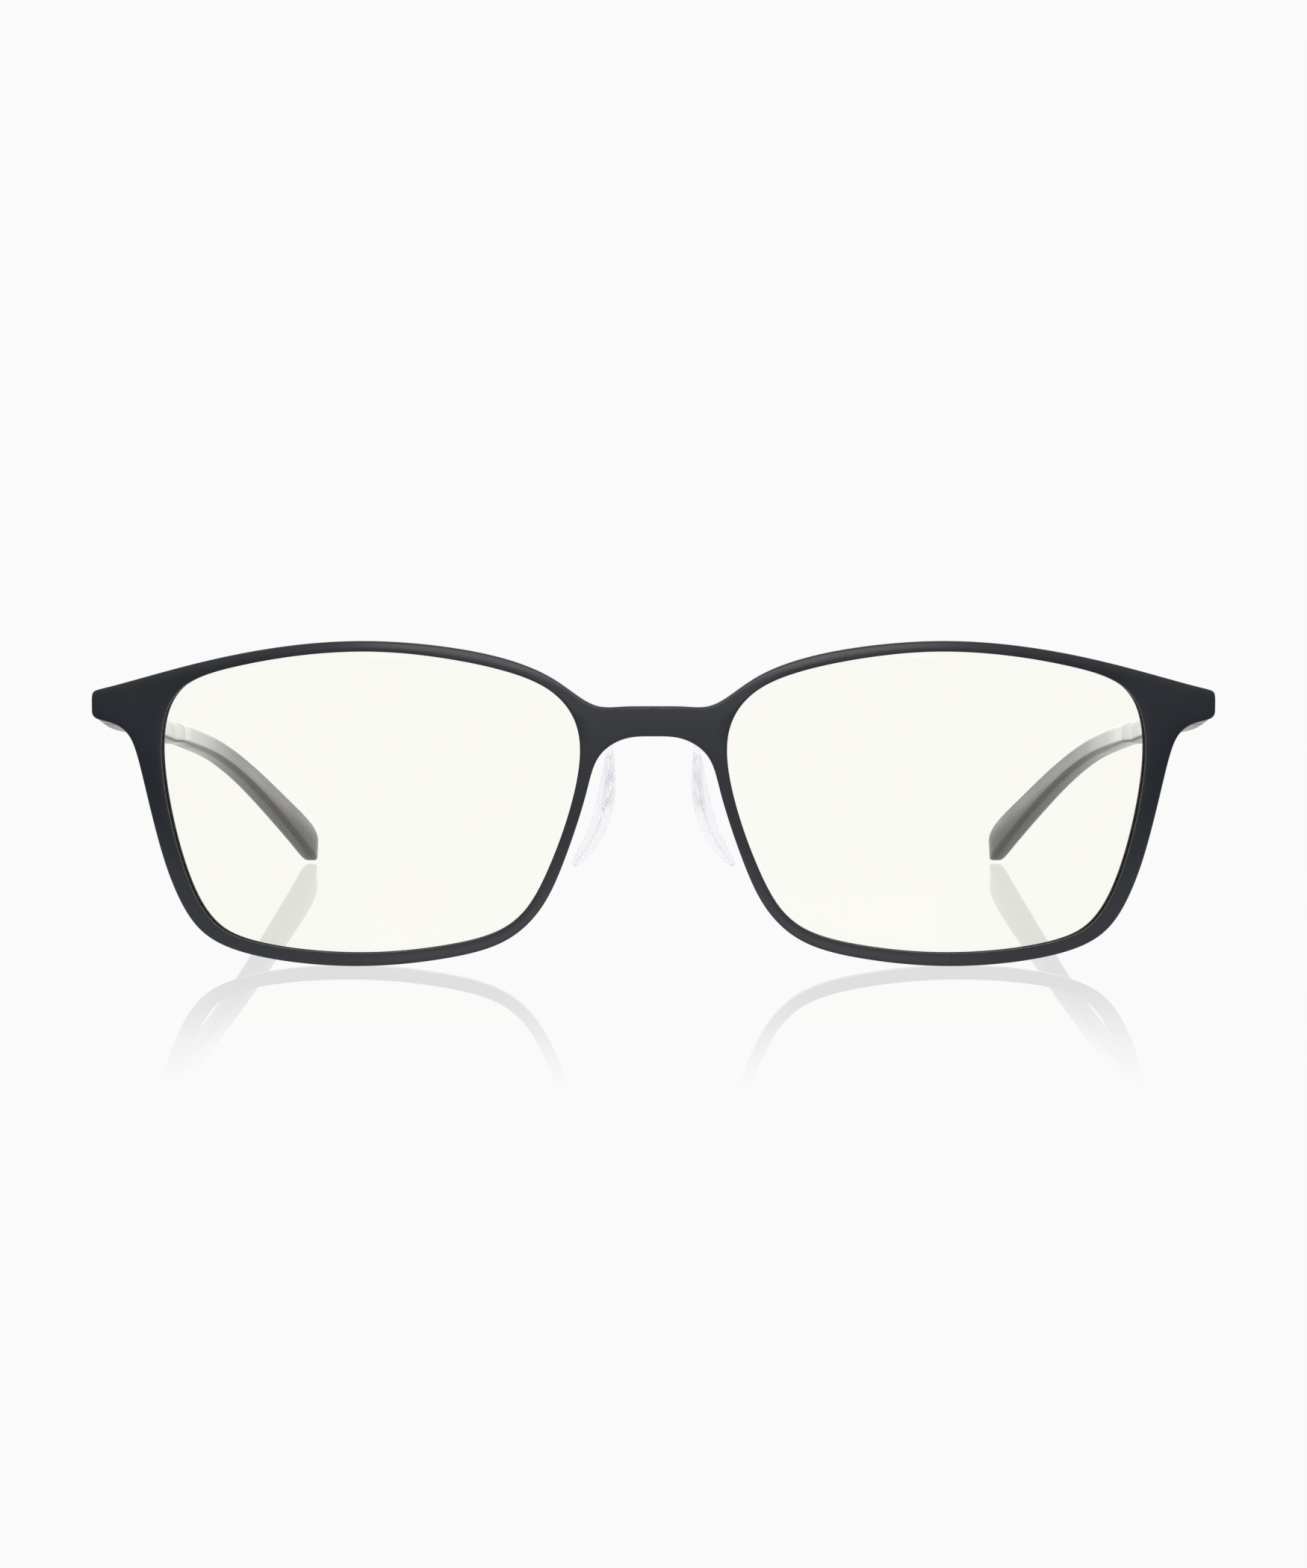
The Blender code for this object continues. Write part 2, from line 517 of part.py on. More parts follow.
def strip(name, grow, finish, count=15):
    """The pad arm's bent strip: thin across X and wide in the plane that it bends in."""
    path = smooth_curve(ARM_PATH, count * 10) * MM
    rings = []
    for share in np.linspace(0, 1, count):
        i = round(share * (len(path) - 1))
        ahead, behind = path[min(i + 3, len(path) - 1)], path[max(i - 3, 0)]
        along = Vector(ahead - behind).normalized()
        wide = along.cross(Vector((1, 0, 0))).normalized()
        thin = wide.cross(along)
        twist = Matrix.Rotation(PAD_SPLAY * min(share * 1.6, 1), 3, along)
        wide, thin = twist @ wide, twist @ thin
        thick = ARM_ROOT_THICK + (ARM_BLADE_THICK - ARM_ROOT_THICK) * share + grow
        rings.append([Vector(path[i]) + wide * a + thin * b
                      for a, b in rounded_section(ARM_WIDTH + grow, thick, 0.3 * thick, 1)])
    return loft(name, rings, finish)


def arm_foot(name, grow, finish):
    """The block at the arm's root that plugs into the back of the rim."""
    root = Vector(ARM_PATH[0]) * MM
    foot_y = face_y(root.x, root.z) + RIM_DEPTH
    centre = Vector((root.x, foot_y + 0.15 * MM, root.z))
    half = [size / 2 + grow for size in ARM_FOOT]
    return box(name, centre, half, finish)


def build_pad(finish):
    """A soft oval pad, slightly hollow towards the nose, splayed outwards at the back."""
    line = smooth_curve(PAD_LINE, 300) * MM
    rings = []
    for t in np.linspace(0.015, 0.985, 13):
        i = int(t * 299)
        x, z = line[i]
        along = Vector((line[min(i + 2, 299)][0] - line[i - 2][0], 0,
                        line[min(i + 2, 299)][1] - line[i - 2][1])).normalized()
        level = max(1 - (2 * t - 1) ** 2, 0) ** 0.5
        half = PAD_HALF_WIDTH * level * (0.92 + 0.16 * t)
        thick = PAD_THICK * (0.45 + 0.55 * level)
        back = Vector((sin(PAD_SPLAY), cos(PAD_SPLAY), 0))
        normal = along.cross(back).normalized()
        rings.append([Vector((x, PAD_MID_Y, z)) + back * a + normal * b
                      for a, b in rounded_section(2 * half, thick, 0.45 * min(thick, 2 * half), 3)])
    return loft("left_nose_pad", rings, finish)


def hang_on(axis_name, place, pieces):
    """Parent the pieces to an empty on their joint's axis."""
    empty = bpy.data.objects.new(axis_name, None)
    empty.location = place
    empty.empty_display_size = 5 * MM
    bpy.context.collection.objects.link(empty)
    for piece in pieces:
        piece.data.transform(Matrix.Translation(-empty.location))
        piece.parent = empty


TEMPLE_TABLE = temple_line()


def main():
    clear_scene()
    plastic = material("navy_plastic", (0.022, 0.025, 0.032), 0.42)
    clear_lens = material("clear_lens", (0.97, 0.96, 0.90), 0.03, alpha=0.25)
    clear_plastic = material("clear_plastic", (0.93, 0.93, 0.96), 0.08, alpha=0.4)
    silicone = material("clear_silicone", (0.86, 0.86, 0.93), 0.3, alpha=0.6)
    rubber = material("ear_rubber", (0.05, 0.05, 0.048), 0.6)
    wire = material("core_wire", (0.62, 0.61, 0.6), 0.3, 1.0)
    steel = material("hinge_steel", (0.55, 0.55, 0.56), 0.3, 1.0)

    front = build_front(plastic)
    for side in (1, -1):
        carve(front, endpiece_block(side, plastic), "UNION")
        rivet_bores(front, -TEMPLE_LINE, side, plastic)
    for side in (1, -1):
        socket = arm_foot("socket", GAP, plastic)
        if side < 0:
            socket.data.transform(Matrix.Scale(-1, 4, (1, 0, 0)))
            socket.data.flip_normals()
        carve(front, socket)

    lens = build_lens(clear_lens)
    arm = strip("left_pad_arm", 0.0, clear_plastic)
    carve(arm, arm_foot("foot", 0.0, clear_plastic), "UNION")
    pad = build_pad(silicone)
    carve(pad, strip("blade_slot", 2 * GAP, silicone))

    temple, tip, core = build_temple(plastic, rubber, wire)
    rivet_bores(temple, TEMPLE_LINE, 1, plastic)
    front_leaf = build_leaf("left_front_hinge_leaf", -TEMPLE_LINE, (0, 2), steel)
    temple_leaf = build_leaf("left_temple_hinge_leaf", TEMPLE_LINE, (1,), steel)
    front_rivets = build_rivets("left_front_rivet", -TEMPLE_LINE, steel)
    temple_rivets = build_rivets("left_temple_rivet", TEMPLE_LINE, steel)
    screw = build_hinge_screw(steel)

    fixed = [lens, arm, pad, front_leaf, screw] + front_rivets
    swinging = [temple, tip, core, temple_leaf] + temple_rivets
    for piece in fixed:
        right_twin(piece)
    right_swinging = [right_twin(piece) for piece in swinging]
    place = HINGE + Vector((0, DATUM_Y, 0))
    hang_on("left_hinge_axis", place, swinging)
    hang_on("right_hinge_axis", left_right(place, -1), right_swinging)


main()
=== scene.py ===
# Full-rim glasses with clear lenses: the finished surfaces and finishes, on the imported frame.
# Lengths in the settings are in millimetres, measured from the bridge's foremost point;
# x is the wearer's left, y runs back to the ears and z is up from the table.
from math import cos, pi, radians, sin

import bmesh
import bpy
import numpy as np
from mathutils import Matrix, Vector


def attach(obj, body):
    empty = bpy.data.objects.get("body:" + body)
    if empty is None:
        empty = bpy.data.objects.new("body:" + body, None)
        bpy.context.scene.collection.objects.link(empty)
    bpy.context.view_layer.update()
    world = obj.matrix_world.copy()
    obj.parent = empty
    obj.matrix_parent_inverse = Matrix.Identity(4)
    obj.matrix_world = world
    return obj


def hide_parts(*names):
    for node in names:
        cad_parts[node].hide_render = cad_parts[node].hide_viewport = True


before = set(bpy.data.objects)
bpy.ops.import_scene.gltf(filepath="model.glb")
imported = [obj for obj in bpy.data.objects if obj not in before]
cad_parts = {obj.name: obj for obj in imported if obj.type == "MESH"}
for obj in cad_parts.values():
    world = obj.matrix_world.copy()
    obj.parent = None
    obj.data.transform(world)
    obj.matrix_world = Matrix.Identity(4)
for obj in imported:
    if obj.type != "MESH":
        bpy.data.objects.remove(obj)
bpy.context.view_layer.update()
print("frame loaded")

mm = 0.001
datumY = -78.73 * mm          # where the bridge's foremost point lies in the frame


# ---- curves and surfaces ----

def curveThrough(points, count, closed=False):
    # Natural cubic spline through the points: each span's length in the parameter is the
    # square root of its chord, and the second derivatives solve a tridiagonal system.
    knots = np.array(points, float)
    if closed:
        knots = np.vstack([knots[-4:], knots, knots[:4]])
    spans = np.sqrt(np.linalg.norm(np.diff(knots, axis=0), axis=1))
    at = np.concatenate([[0], np.cumsum(spans)])
    size = len(knots)
    rows = np.arange(1, size - 1)
    system = np.eye(size)
    system[rows, rows - 1] = spans[:-1]
    system[rows, rows] = 2 * (spans[:-1] + spans[1:])
    system[rows, rows + 1] = spans[1:]
    slopes = np.zeros_like(knots)
    steps = np.diff(knots, axis=0) / spans[:, None]
    slopes[1:-1] = 6 * np.diff(steps, axis=0)
    bend = np.linalg.solve(system, slopes)
    first, last = (at[4], at[-4]) if closed else (at[0], at[-1])
    where = np.linspace(first, last, count, endpoint=not closed)
    i = np.clip(np.searchsorted(at, where, side="right") - 1, 0, size - 2)
    span, left, right = spans[i][:, None], (where - at[i])[:, None], (at[i + 1] - where)[:, None]
    return ((bend[i] * right ** 3 + bend[i + 1] * left ** 3) / (6 * span)
            + (knots[i] / span - bend[i] * span / 6) * right
            + (knots[i + 1] / span - bend[i + 1] * span / 6) * left)


def newPiece(name, points, faces, finish, sharpAngle=40, second=None):
    # Points in mm from the bridge become a smooth-shaded mesh in the frame; second is
    # another finish and which of the faces take it.
    places = np.asarray(points, float) * mm + np.array([0, datumY, 0])
    mesh = bpy.data.meshes.new(name)
    mesh.from_pydata(places.tolist(), [], faces)
    mesh.materials.append(finish)
    if second:
        mesh.materials.append(second[0])
        mesh.polygons.foreach_set("material_index", np.asarray(second[1], dtype=np.int32))
    piece = bpy.data.objects.new(name, mesh)
    bpy.context.collection.objects.link(piece)
    tidyMesh(piece, sharpAngle)
    return piece


def tidyMesh(piece, sharpAngle=40):
    shell = bmesh.new()
    shell.from_mesh(piece.data)
    bmesh.ops.remove_doubles(shell, verts=shell.verts, dist=0.0008 * mm)
    bmesh.ops.dissolve_degenerate(shell, edges=shell.edges, dist=0.0008 * mm)
    bmesh.ops.recalc_face_normals(shell, faces=shell.faces)
    shell.to_mesh(piece.data)
    shell.free()
    piece.data.shade_smooth()
    piece.data.set_sharp_from_angle(angle=radians(sharpAngle))


def ringFaces(rings, around, closeEnds=True):
    # Cells between neighbouring rings, and a fan to an added middle point on each end.
    k, i = (a.ravel() for a in np.meshgrid(np.arange(rings - 1), np.arange(around), indexing="ij"))
    j = (i + 1) % around
    faces = np.stack([k * around + i, k * around + j, (k + 1) * around + j, (k + 1) * around + i], 1).tolist()
    if closeEnds:
        i = np.arange(around)
        j, last, middle = (i + 1) % around, (rings - 1) * around, rings * around
        faces += np.stack([j, i, np.full(around, middle)], 1).tolist()
        faces += np.stack([last + i, last + j, np.full(around, middle + 1)], 1).tolist()
    return faces


def ringSurface(name, rings, finish, sharpAngle=40, edgeFinish=None, edgeRings=()):
    # A closed body through equal rings of points, with a pole in the middle of each end;
    # the cells that start at the edge rings take the edge finish.
    rings = np.asarray(rings, float)
    count, around, _ = rings.shape
    points = np.vstack([rings.reshape(-1, 3), rings[0].mean(0), rings[-1].mean(0)])
    faces = ringFaces(count, around)
    ringOf = np.arange(len(faces)) // around
    second = (edgeFinish, np.isin(ringOf, edgeRings)) if edgeFinish else None
    return newPiece(name, points, faces, finish, sharpAngle, second)


def roundedOutline(width, height, corner, steps):
    # A rectangle whose corners are quarter circles, anticlockwise; width, height and corner
    # may be arrays with one value for each ring.
    width, height, corner = (np.atleast_1d(np.asarray(v, float))[:, None] for v in (width, height, corner))
    quarter = np.repeat(np.arange(4), steps + 1)
    turn = (quarter + np.tile(np.linspace(0, 1, steps + 1), 4)) * pi / 2
    signX, signY = np.array([1, -1, -1, 1])[quarter], np.array([1, 1, -1, -1])[quarter]
    return np.stack([signX * (width / 2 - corner) + corner * np.cos(turn),
                     signY * (height / 2 - corner) + corner * np.sin(turn)], -1)


def sweep(centres, across, up, outline):
    # ring point = centre + across * outline x + up * outline y
    return (centres[:, None] + across[:, None] * outline[..., :1] + up[:, None] * outline[..., 1:])


def combine(piece, tool, operation, sharpAngle=40):
    # Cut, join or keep what is common, then drop the tool.
    change = piece.modifiers.new("combine", "BOOLEAN")
    change.operation, change.object, change.solver = operation, tool, "EXACT"
    bpy.context.view_layer.update()
    result = bpy.data.meshes.new_from_object(
        piece.evaluated_get(bpy.context.evaluated_depsgraph_get()))
    piece.modifiers.remove(change)
    piece.data = result
    bpy.data.objects.remove(tool, do_unlink=True)
    tidyMesh(piece, sharpAngle)


def rightTwin(piece, name):
    # The same surface with x negated, and its faces turned back outwards.
    twin = piece.copy()
    twin.name = name
    twin.data = piece.data.copy()
    twin.data.transform(Matrix.Scale(-1, 4, (1, 0, 0)))
    twin.data.flip_normals()
    bpy.context.collection.objects.link(twin)
    return twin


def place(piece, body, slot, nodes):
    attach(piece, body)
    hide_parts(*nodes)


def placePair(piece, name, bodies, slot, node):
    # The left piece and its right twin stand for the left_ and right_ nodes.
    twin = rightTwin(piece, "right" + name)
    piece.name = "left" + name
    place(piece, bodies[0], slot, ["left_" + node])
    place(twin, bodies[1], slot, ["right_" + node])


# ---- finishes ----

def grainGroup():
    # Height: fine cells with a broad ripple under them. Mottle: slow cloudiness from 0 to 1.
    group = bpy.data.node_groups.new("mouldGrain", "ShaderNodeTree")
    for socket in ("Fine Scale", "Broad Scale", "Ripple"):
        group.interface.new_socket(socket, in_out="INPUT", socket_type="NodeSocketFloat")
    for socket in ("Height", "Mottle"):
        group.interface.new_socket(socket, in_out="OUTPUT", socket_type="NodeSocketFloat")
    nodes, links = group.nodes, group.links
    inside, outside = nodes.new("NodeGroupInput"), nodes.new("NodeGroupOutput")
    where = nodes.new("ShaderNodeTexCoord")
    fine, broad = nodes.new("ShaderNodeTexNoise"), nodes.new("ShaderNodeTexNoise")
    fine.inputs["Detail"].default_value = 2.0
    broad.inputs["Detail"].default_value = 3.0
    for noise, scale in ((fine, "Fine Scale"), (broad, "Broad Scale")):
        links.new(where.outputs["Object"], noise.inputs["Vector"])
        links.new(inside.outputs[scale], noise.inputs["Scale"])
    ripple = nodes.new("ShaderNodeMath")
    ripple.operation = "MULTIPLY_ADD"
    links.new(broad.outputs["Fac"], ripple.inputs[0])
    links.new(inside.outputs["Ripple"], ripple.inputs[1])
    links.new(fine.outputs["Fac"], ripple.inputs[2])
    cloud = nodes.new("ShaderNodeMapRange")
    cloud.inputs["From Min"].default_value = 0.35
    cloud.inputs["From Max"].default_value = 0.65
    links.new(broad.outputs["Fac"], cloud.inputs["Value"])
    links.new(ripple.outputs[0], outside.inputs["Height"])
    links.new(cloud.outputs["Result"], outside.inputs["Mottle"])
    return group


mouldGrain = grainGroup()


def moulded(name, look):
    # One Principled finish: two close colours and two close roughnesses mixed by the
    # mottle, and a shallow bump from the grain.
    finish = bpy.data.materials.new(name)
    finish.use_nodes = True
    nodes, links = finish.node_tree.nodes, finish.node_tree.links
    shader = nodes["Principled BSDF"]
    grain = nodes.new("ShaderNodeGroup")
    grain.node_tree = mouldGrain
    grain.inputs["Fine Scale"].default_value = look["fineScale"]
    grain.inputs["Broad Scale"].default_value = look["broadScale"]
    grain.inputs["Ripple"].default_value = look.get("ripple", 0.5)
    colour = nodes.new("ShaderNodeMix")
    colour.data_type = "RGBA"
    colour.inputs["A"].default_value = (*look["colourLow"], 1)
    colour.inputs["B"].default_value = (*look["colourHigh"], 1)
    links.new(grain.outputs["Mottle"], colour.inputs["Factor"])
    links.new(colour.outputs["Result"], shader.inputs["Base Color"])
    rough = nodes.new("ShaderNodeMapRange")
    rough.inputs["To Min"].default_value, rough.inputs["To Max"].default_value = look["roughness"]
    links.new(grain.outputs["Mottle"], rough.inputs["Value"])
    links.new(rough.outputs["Result"], shader.inputs["Roughness"])
    bump = nodes.new("ShaderNodeBump")
    bump.inputs["Strength"].default_value = look["bump"]
    bump.inputs["Distance"].default_value = look.get("bumpDepth", 0.01) * mm
    links.new(grain.outputs["Height"], bump.inputs["Height"])
    links.new(bump.outputs["Normal"], shader.inputs["Normal"])
    for socket, value in look.get("plain", {}).items():
        shader.inputs[socket].default_value = value
    finish.diffuse_color = (*look["colourHigh"], 1)
    return finish


finishes = {
    "navyPlastic": dict(colourLow=(0.0068, 0.0098, 0.0150), colourHigh=(0.0088, 0.0122, 0.0186),
                        roughness=(0.24, 0.28), fineScale=5200, broadScale=90, ripple=0.1,
                        bump=0.06, plain={"IOR": 1.46}),
    # painted shade: the groove walls are the same navy plastic, given here a dull olive colour with weak reflection
    # so that they show the groove's shade
    "paintedGrooveShade": dict(colourLow=(0.010, 0.0105, 0.0085), colourHigh=(0.014, 0.0145, 0.012),
                      roughness=(0.6, 0.7), fineScale=5200, broadScale=90, ripple=0.1,
                      bump=0.06, plain={"IOR": 1.15}),
    "earRubber": dict(colourLow=(0.030, 0.028, 0.026), colourHigh=(0.038, 0.036, 0.033),
                      roughness=(0.18, 0.22), fineScale=7000, broadScale=120, ripple=0.1,
                      bump=0.08, plain={"IOR": 1.4}),
    "clearLens": dict(colourLow=(0.995, 0.985, 0.935), colourHigh=(1.0, 0.990, 0.942),
                      roughness=(0.0, 0.004), fineScale=300, broadScale=30, bump=0.0,
                      plain={"IOR": 1.16, "Transmission Weight": 1.0}),
    "clearPlastic": dict(colourLow=(0.88, 0.88, 0.95), colourHigh=(0.93, 0.93, 0.98),
                         roughness=(0.0, 0.0), fineScale=1500, broadScale=200, bump=0.01,
                         plain={"IOR": 1.16, "Transmission Weight": 1.0, "Alpha": 0.4}),
    "clearSilicone": dict(colourLow=(0.80, 0.80, 0.92), colourHigh=(0.87, 0.87, 0.96),
                          roughness=(0.0, 0.0), fineScale=1500, broadScale=200, bump=0.02,
                          plain={"IOR": 1.12, "Transmission Weight": 1.0, "Alpha": 0.4}),
    "hingeSteel": dict(colourLow=(0.46, 0.46, 0.47), colourHigh=(0.58, 0.58, 0.59),
                       roughness=(0.24, 0.36), fineScale=6500, broadScale=700, bump=0.10,
                       plain={"Metallic": 1.0}),
    "coreWire": dict(colourLow=(0.55, 0.54, 0.53), colourHigh=(0.64, 0.63, 0.62),
                     roughness=(0.25, 0.35), fineScale=8000, broadScale=600, bump=0.08,
                     plain={"Metallic": 1.0}),
}
finishes = {name: moulded(name, look) for name, look in finishes.items()}
print("finishes mixed")


# ---- front ----

front = {
    # its edge from the bridge's top round the endpiece and rim to the bridge's underside
    "edge": [(0, 33.65), (4.0, 33.6), (7.3, 33.7), (10.6, 35.6), (14.0, 37.75), (21.0, 40.15),
             (35.0, 41.85), (48.0, 41.05), (60.0, 38.55), (69.5, 35.9), (71.9, 35.25),
             (72.4, 34.85), (72.5, 33.2), (72.4, 32.1), (71.8, 31.55), (69.8, 31.0), (68.2, 30.1),
             (67.1, 28.5), (65.6, 23.2), (63.6, 15.2), (61.5, 9.2), (58.4, 4.4), (52.5, 1.5),
             (39.0, 0.0), (26.5, 1.1), (19.0, 3.4), (14.6, 7.4), (11.6, 13.4), (8.6, 22.5),
             (6.9, 27.3), (3.6, 29.5), (0, 29.8)],
    # the left lens opening, anticlockwise from its lowest point
    "opening": [(36.3, 1.75), (46.4, 2.15), (53.0, 3.4), (56.3, 5.1), (59.4, 9.6), (62.7, 21.3),
                (63.1, 31.0), (60.5, 35.8), (53.5, 38.5), (45.0, 40.0), (36.3, 40.5), (27.7, 39.8),
                (18.5, 37.9), (12.5, 35.0), (9.6, 30.0), (10.5, 21.3), (13.4, 13.0), (16.5, 7.4),
                (20.3, 4.5), (26.6, 2.75)],
    # points that face each other across the rim, and the steps to the next pair
    "facing": [((9.8, 31.6), (0, 33.65), 4), ((10.6, 33.1), (7.4, 33.7), 5), ((18.5, 37.9), (14.6, 38.1), 6),
               ((36.3, 40.5), (36.3, 41.9), 6), ((53.5, 38.5), (56.0, 39.6), 6),
               ((61.3, 35.2), (71.9, 35.25), 4), ((63.1, 31.4), (71.8, 31.55), 5),
               ((62.9, 24.8), (66.2, 25.0), 6), ((59.4, 9.6), (61.7, 9.6), 6),
               ((53.0, 3.4), (53.8, 1.9), 6), ((36.3, 1.75), (36.6, 0.0), 6),
               ((20.3, 4.5), (18.6, 3.6), 6), ((13.4, 13.0), (11.6, 13.4), 5),
               ((9.7, 25.6), (7.6, 25.7), 3), ((9.5, 28.3), (5.4, 28.8), 3), ((9.6, 29.9), (0, 29.8), 3)],
    "finer": 6,                # this many times the steps above
    "wrap": [(-20, 0.75), (0, 0.0), (20, 0.75), (36, 1.2), (50, 2.9), (63, 5.6), (73, 7.8)],
    "curveRadius": 132, "middleZ": 21,
    "depth": 3.2, "edgeRound": 0.2, "crown": 0.04,
    "lipWide": 0.09, "lipRound": 0.07,    # a fine rounded edge round the opening
    "draft": 0.1,                          # the outer wall leans in towards the back
    "backOpen": 0.12,                      # the opening is this much wider behind the lens
    "grooveFront": 0.9, "grooveBack": 2.3, "grooveCut": 0.65, "grooveSlope": 0.04,
    "squareness": 0.55,                    # how much of the wrap's slope the walls follow
}
wrapCurve = curveThrough(front["wrap"], 800)


def faceDepth(plan):
    # depth behind the bridge = wrap spline at |x| + (z - middle)^2 / (2 * curve radius)
    bow = (plan[..., 1] - front["middleZ"]) ** 2 / (2 * front["curveRadius"])
    return np.interp(np.abs(plan[..., 0]), wrapCurve[:, 0], wrapCurve[:, 1]) + bow


def behindFace(plan, behind):
    # Going back from the face, a point moves square to the face in plan:
    # x - side * slope * squareness * behind, y = face depth + behind.
    slope = np.interp(np.abs(plan[..., 0]), wrapCurve[:, 0],
                      np.gradient(wrapCurve[:, 1]) / np.gradient(wrapCurve[:, 0]))
    x = plan[..., 0] - np.sign(plan[..., 0]) * slope * front["squareness"] * behind
    return np.stack([x, faceDepth(plan) + behind, plan[..., 1]], -1)


def pointsAt(loop, where):
    # Points of a closed loop at fractional indices.
    low = np.floor(where).astype(int)
    share = (where - low)[:, None]
    return loop[low % len(loop)] * (1 - share) + loop[(low + 1) % len(loop)] * share


def facingPairs():
    # Matching points round the opening and round the left half's edge: between two marked
    # pairs both loops are stepped through evenly.
    opening = curveThrough(front["opening"], 3000, closed=True)[::-1]
    knots = front["edge"]
    mirrored = [(-x, z) for x, z in knots]
    edge = curveThrough(mirrored[4:0:-1] + knots + mirrored[-2:-6:-1], 9000)
    edge = edge[edge[:, 0] >= 0]
    edge[0, 0] = edge[-1, 0] = 0
    loops = [opening, np.vstack([edge, np.linspace(edge[-1], edge[0], 400)[1:-1]])]
    matched = []
    for k, loop in enumerate(loops):
        marks = [int(np.argmin(np.hypot(*(loop - np.array(pair[k])).T))) for pair in front["facing"]]
        ends = marks[1:] + marks[:1]
        ends = [end if end > start else end + len(loop) for start, end in zip(marks, ends)]
        where = np.concatenate([np.linspace(start, end, pair[2] * front["finer"], endpoint=False)
                                for start, end, pair in zip(marks, ends, front["facing"])])
        matched.append(pointsAt(loop, where))
    return matched


def outward(loop):
    # Unit vectors square to a clockwise loop, away from its inside.
    along = np.roll(loop, -1, axis=0) - np.roll(loop, 1, axis=0)
    along /= np.linalg.norm(along, axis=1)[:, None]
    return np.stack([-along[:, 1], along[:, 0]], axis=1)


opening, edge = facingPairs()


def buildFront(finish):
    # The rim's section is carried round the left eye as a set of loops: sloping lip, face,
    # rounded edge, leaning side, back and lens groove. The left half is mirrored and joined
    # at x = 0, where the section's side is left out.
    lensOut, edgeIn = outward(opening), -outward(edge)
    onCut = edge[:, 0] < 0.01
    bridgeTop, bridgeUnder = front["edge"][0][1], front["edge"][-1][1]
    corner = onCut & ((edge[:, 1] > bridgeTop - 0.05) | (edge[:, 1] < bridgeUnder + 0.05))
    insideCut = onCut & ~corner
    upper = edge[corner][:, 1:] > (bridgeTop + bridgeUnder) / 2
    edgeIn[corner] = np.where(upper, [[0.0, -1.0]], [[0.0, 1.0]])
    radius = np.where(insideCut, 0.0, front["edgeRound"])[:, None]
    depth, wide, small = front["depth"], front["lipWide"], front["lipRound"]
    turns = np.linspace(0, pi / 2, 6)
    loops = []

    def add(plan, behind):
        loops.append((plan, np.broadcast_to(behind, (len(plan),))))

    def edgeLoops(order, behind, lean):
        for a in order:
            add(edge + edgeIn * (radius * (1 - sin(a)) + lean * (radius > 0)),
                behind(radius[:, 0] * (1 - cos(a))))

    def faceLoops(shares, from_, to, behind, crown):
        for share in shares:
            add(from_ * (1 - share) + to * share, behind - crown * 4 * share * (1 - share))

    shares = np.linspace(0, 1, 7)
    seat = front["grooveFront"]
    slope = [(0.0, seat), (0.35, 0.62 * seat), (0.75, 0.24 * seat)]
    for outwards, behind in slope:
        add(opening + lensOut * outwards * (wide - small), behind)
    for a in turns[1:]:
        add(opening + lensOut * (wide - small * cos(a)), 0.12 * seat * (1 - sin(a)))
    crown = front["crown"] * np.clip((edge[:, 0] - 10) / 6, 0, 1)      # the bridge is flat
    faceLoops(shares[1:-1], opening + lensOut * wide, edge + edgeIn * radius, 0.0, crown)
    edgeLoops(turns, lambda d: d, 0.0)
    sideFrom = len(loops) - 1
    leaning = edge + edgeIn * (radius + front["draft"] * (radius > 0))
    edgeLoops(turns[::-1], lambda d: depth - d, front["draft"])
    backEdge = opening + lensOut * front["backOpen"]
    faceLoops(shares[1:-1], leaning, backEdge + lensOut * small, depth, -crown)
    for a in turns[::-1]:
        add(backEdge + lensOut * small * (1 - cos(a)), depth - small * (1 - sin(a)))
    grooveFrom = len(loops)
    add(backEdge, front["grooveBack"])
    add(opening + lensOut * front["grooveCut"], front["grooveBack"] - front["grooveSlope"])
    add(opening + lensOut * front["grooveCut"], front["grooveFront"] + front["grooveSlope"])
    plans = np.array([plan for plan, _ in loops])
    behind = np.array([d for _, d in loops])
    points = behindFace(plans, behind)
    count, around = points.shape[:2]
    k, i = (a.ravel() for a in np.meshgrid(np.arange(count), np.arange(around), indexing="ij"))
    j, onward = (i + 1) % around, (k + 1) % count
    faces = np.stack([k * around + i, k * around + j, onward * around + j, onward * around + i], 1)
    joined = onCut[i] & onCut[j] & (k >= sideFrom - 5) & (k <= sideFrom + 5)
    # the sloping lip's first bands and the lens groove take the second finish, whose dark colour is painted shade
    # of the groove
    inside = (k >= grooveFrom - 1) | (k < len(slope) - 1)
    half = newPiece("front", points.reshape(-1, 3), faces[~joined].tolist(), finish,
                    second=(finishes["paintedGrooveShade"], inside[~joined]))
    shell = bmesh.new()
    shell.from_mesh(half.data)
    bmesh.ops.mirror(shell, geom=shell.verts[:] + shell.edges[:] + shell.faces[:], axis="X",
                     merge_dist=0.002 * mm)
    bmesh.ops.remove_doubles(shell, verts=shell.verts, dist=0.002 * mm)
    shell.to_mesh(half.data)
    shell.free()
    tidyMesh(half)
    return half


hinge = {"place": (67.45, 17.0, 32.2), "drop": radians(6.9), "jointGap": 0.15}
hingeAt = np.array(hinge["place"])
hingeUp = np.array([0, sin(hinge["drop"]), cos(hinge["drop"])])
templeLine = np.array([0, cos(hinge["drop"]), -sin(hinge["drop"])])
endpiece = {
    "innerX": 68.95, "outerX": 72.15, "corner": 0.8, "endRound": 0.15,
    # y, middle z and height where it leaves the front
    "stations": [(9.4, 33.2, 3.4), (12.5, 32.75, 3.7)], "endHeight": 3.8,
}


